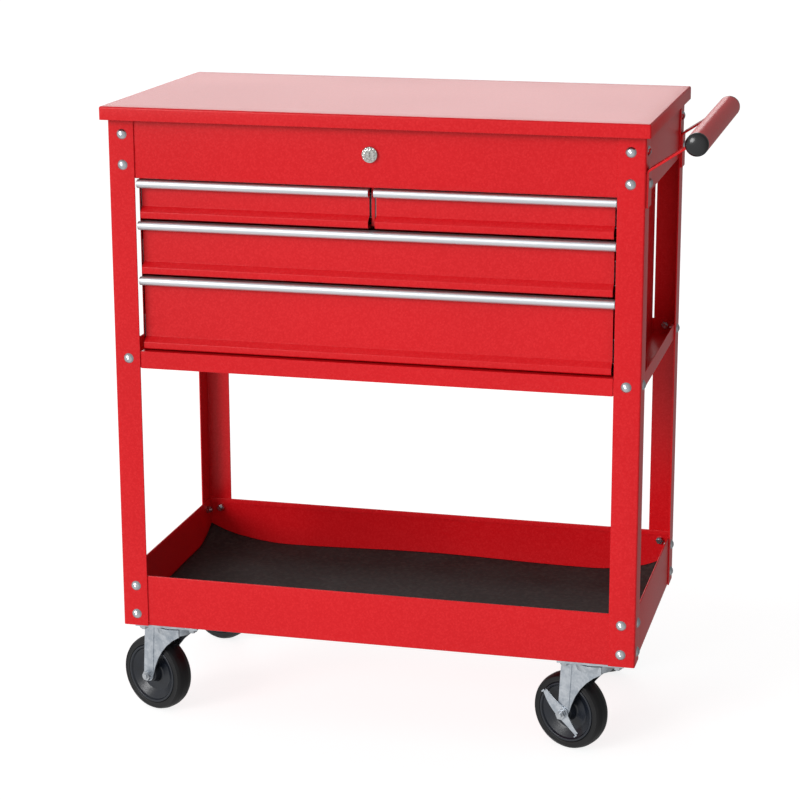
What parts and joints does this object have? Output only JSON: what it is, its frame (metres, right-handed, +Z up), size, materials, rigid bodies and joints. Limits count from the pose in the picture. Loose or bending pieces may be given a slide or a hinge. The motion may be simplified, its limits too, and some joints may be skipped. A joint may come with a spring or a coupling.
{
  "type": "rolling tool chest",
  "caption": "Rolling steel tool chest with a lift-up lid, full-extension drawers, an open bottom tray, a side push handle and swivel casters.",
  "frame": {"origin": "on the floor under the middle of the whole object's box, handle included", "axes": "+Z up; the drawers open towards -Y; the push handle is on the +X side"},
  "size_m": [0.872, 0.423, 0.9235],
  "materials": {
    "red_powder_coat": "glossy powder coat with a fine orange-peel texture",
    "zinc_plate": "bright zinc plate",
    "bolt_steel": "zinc-plated fastener steel",
    "satin_aluminium": "satin anodised extrusion",
    "black_rubber": "matt solid rubber",
    "tyre_rubber": "smooth moulded rubber",
    "hub_plastic": "moulded grey-black plastic",
    "cap_plastic": "moulded black plastic",
    "lock_chrome": "chrome-plated die casting"
  },
  "bodies": {
    "chest": {"leg_front_left": "red_powder_coat", "leg_front_right": "red_powder_coat", "leg_rear_left": "red_powder_coat", "leg_rear_right": "red_powder_coat", "upper_compartment": "red_powder_coat", "cabinet_shell": "red_powder_coat", "centre_divider": "red_powder_coat", "middle_tray": "red_powder_coat", "bottom_tray": "red_powder_coat", "tray_mat": "black_rubber", "frame_bolts": "bolt_steel", "frame_nuts": "bolt_steel", "caster_bolts": "bolt_steel", "handle_tube": "red_powder_coat", "handle_end_caps": "cap_plastic", "handle_brackets": "red_powder_coat", "lock_housing": "lock_chrome", "hinge_leaf_fixed": "zinc_plate", "hinge_pin": "bolt_steel", "slide_channels": "zinc_plate", "caster_plates": "zinc_plate"},
    "lid": {"lid_panel": "red_powder_coat", "hinge_leaf_lid": "zinc_plate", "lid_catch": "zinc_plate"},
    "lock": {"lock_plug": "lock_chrome", "lock_cam": "zinc_plate"},
    "drawer_small_left": {"drawer_small_left_box": "red_powder_coat", "drawer_small_left_pull": "satin_aluminium", "drawer_small_left_slide_inner": "zinc_plate"},
    "slide_middle_small_left": {"drawer_small_left_slide_middle": "zinc_plate"},
    "drawer_small_right": {"drawer_small_right_box": "red_powder_coat", "drawer_small_right_pull": "satin_aluminium", "drawer_small_right_slide_inner": "zinc_plate"},
    "slide_middle_small_right": {"drawer_small_right_slide_middle": "zinc_plate"},
    "drawer_middle": {"drawer_middle_box": "red_powder_coat", "drawer_middle_pull": "satin_aluminium", "drawer_middle_slide_inner": "zinc_plate"},
    "slide_middle_middle": {"drawer_middle_slide_middle": "zinc_plate"},
    "drawer_bottom": {"drawer_bottom_box": "red_powder_coat", "drawer_bottom_pull": "satin_aluminium", "drawer_bottom_slide_inner": "zinc_plate"},
    "slide_middle_bottom": {"drawer_bottom_slide_middle": "zinc_plate"},
    "caster_front_left": {"caster_front_left_fork": "zinc_plate", "caster_front_left_axle": "bolt_steel"},
    "wheel_front_left": {"caster_front_left_hub": "hub_plastic", "caster_front_left_tyre": "tyre_rubber"},
    "caster_front_right": {"caster_front_right_fork": "zinc_plate", "caster_front_right_axle": "bolt_steel"},
    "wheel_front_right": {"caster_front_right_hub": "hub_plastic", "caster_front_right_tyre": "tyre_rubber"},
    "brake_front_right": {"brake_lever_front_right": "zinc_plate"},
    "caster_rear_left": {"caster_rear_left_fork": "zinc_plate", "caster_rear_left_axle": "bolt_steel"},
    "wheel_rear_left": {"caster_rear_left_hub": "hub_plastic", "caster_rear_left_tyre": "tyre_rubber"},
    "caster_rear_right": {"caster_rear_right_fork": "zinc_plate", "caster_rear_right_axle": "bolt_steel"},
    "wheel_rear_right": {"caster_rear_right_hub": "hub_plastic", "caster_rear_right_tyre": "tyre_rubber"},
    "brake_rear_right": {"brake_lever_rear_right": "zinc_plate"}
  },
  "joints": [
    {"name": "lid_hinge", "type": "hinge", "parent": "chest", "child": "lid", "pos_m": [-0.02748, 0.2068, 0.9005], "axis": [-1, 0, 0], "range_deg": [0, 90]},
    {"name": "lock_turn", "type": "hinge", "parent": "chest", "child": "lock", "pos_m": [-0.02748, -0.196, 0.8675], "axis": [0, 1, 0], "range_deg": [0, 90]},
    {"name": "drawer_small_left_slide", "type": "slide", "parent": "chest", "child": "drawer_small_left", "axis": [0, -1, 0], "range_m": [0, 0.32]},
    {"name": "slide_middle_small_left_slide", "type": "slide", "parent": "chest", "child": "slide_middle_small_left", "axis": [0, -1, 0], "range_m": [0, 0.16]},
    {"name": "drawer_small_right_slide", "type": "slide", "parent": "chest", "child": "drawer_small_right", "axis": [0, -1, 0], "range_m": [0, 0.32]},
    {"name": "slide_middle_small_right_slide", "type": "slide", "parent": "chest", "child": "slide_middle_small_right", "axis": [0, -1, 0], "range_m": [0, 0.16]},
    {"name": "drawer_middle_slide", "type": "slide", "parent": "chest", "child": "drawer_middle", "axis": [0, -1, 0], "range_m": [0, 0.32]},
    {"name": "slide_middle_middle_slide", "type": "slide", "parent": "chest", "child": "slide_middle_middle", "axis": [0, -1, 0], "range_m": [0, 0.16]},
    {"name": "drawer_bottom_slide", "type": "slide", "parent": "chest", "child": "drawer_bottom", "axis": [0, -1, 0], "range_m": [0, 0.32]},
    {"name": "slide_middle_bottom_slide", "type": "slide", "parent": "chest", "child": "slide_middle_bottom", "axis": [0, -1, 0], "range_m": [0, 0.16]},
    {"name": "swivel_front_left", "type": "hinge", "parent": "chest", "child": "caster_front_left", "pos_m": [-0.34448, -0.152, 0.1425], "axis": [0, 0, 1], "continuous": true},
    {"name": "wheel_spin_front_left", "type": "hinge", "parent": "caster_front_left", "child": "wheel_front_left", "pos_m": [-0.38038, -0.13676, 0.0575], "axis": [-0.3907, -0.9205, 0], "continuous": true},
    {"name": "swivel_front_right", "type": "hinge", "parent": "chest", "child": "caster_front_right", "pos_m": [0.28952, -0.152, 0.1425], "axis": [0, 0, 1], "continuous": true},
    {"name": "wheel_spin_front_right", "type": "hinge", "parent": "caster_front_right", "child": "wheel_front_right", "pos_m": [0.25362, -0.13676, 0.0575], "axis": [-0.3907, -0.9205, 0], "continuous": true},
    {"name": "brake_lever_turn_front_right", "type": "hinge", "parent": "caster_front_right", "child": "brake_front_right", "pos_m": [0.25362, -0.13676, 0.0575], "axis": [-0.3907, -0.9205, 0], "range_deg": [0, 25]},
    {"name": "swivel_rear_left", "type": "hinge", "parent": "chest", "child": "caster_rear_left", "pos_m": [-0.34448, 0.152, 0.1425], "axis": [0, 0, 1], "continuous": true},
    {"name": "wheel_spin_rear_left", "type": "hinge", "parent": "caster_rear_left", "child": "wheel_rear_left", "pos_m": [-0.38038, 0.16724, 0.0575], "axis": [-0.3907, -0.9205, 0], "continuous": true},
    {"name": "swivel_rear_right", "type": "hinge", "parent": "chest", "child": "caster_rear_right", "pos_m": [0.28952, 0.152, 0.1425], "axis": [0, 0, 1], "continuous": true},
    {"name": "wheel_spin_rear_right", "type": "hinge", "parent": "caster_rear_right", "child": "wheel_rear_right", "pos_m": [0.25362, 0.16724, 0.0575], "axis": [-0.3907, -0.9205, 0], "continuous": true},
    {"name": "brake_lever_turn_rear_right", "type": "hinge", "parent": "caster_rear_right", "child": "brake_rear_right", "pos_m": [0.25362, 0.16724, 0.0575], "axis": [-0.3907, -0.9205, 0], "range_deg": [0, 25]}
  ],
  "couplings": [
    {"joint": "slide_middle_small_left_slide", "follows": "drawer_small_left_slide", "ratio": 0.5},
    {"joint": "slide_middle_small_right_slide", "follows": "drawer_small_right_slide", "ratio": 0.5},
    {"joint": "slide_middle_middle_slide", "follows": "drawer_middle_slide", "ratio": 0.5},
    {"joint": "slide_middle_bottom_slide", "follows": "drawer_bottom_slide", "ratio": 0.5}
  ]
}
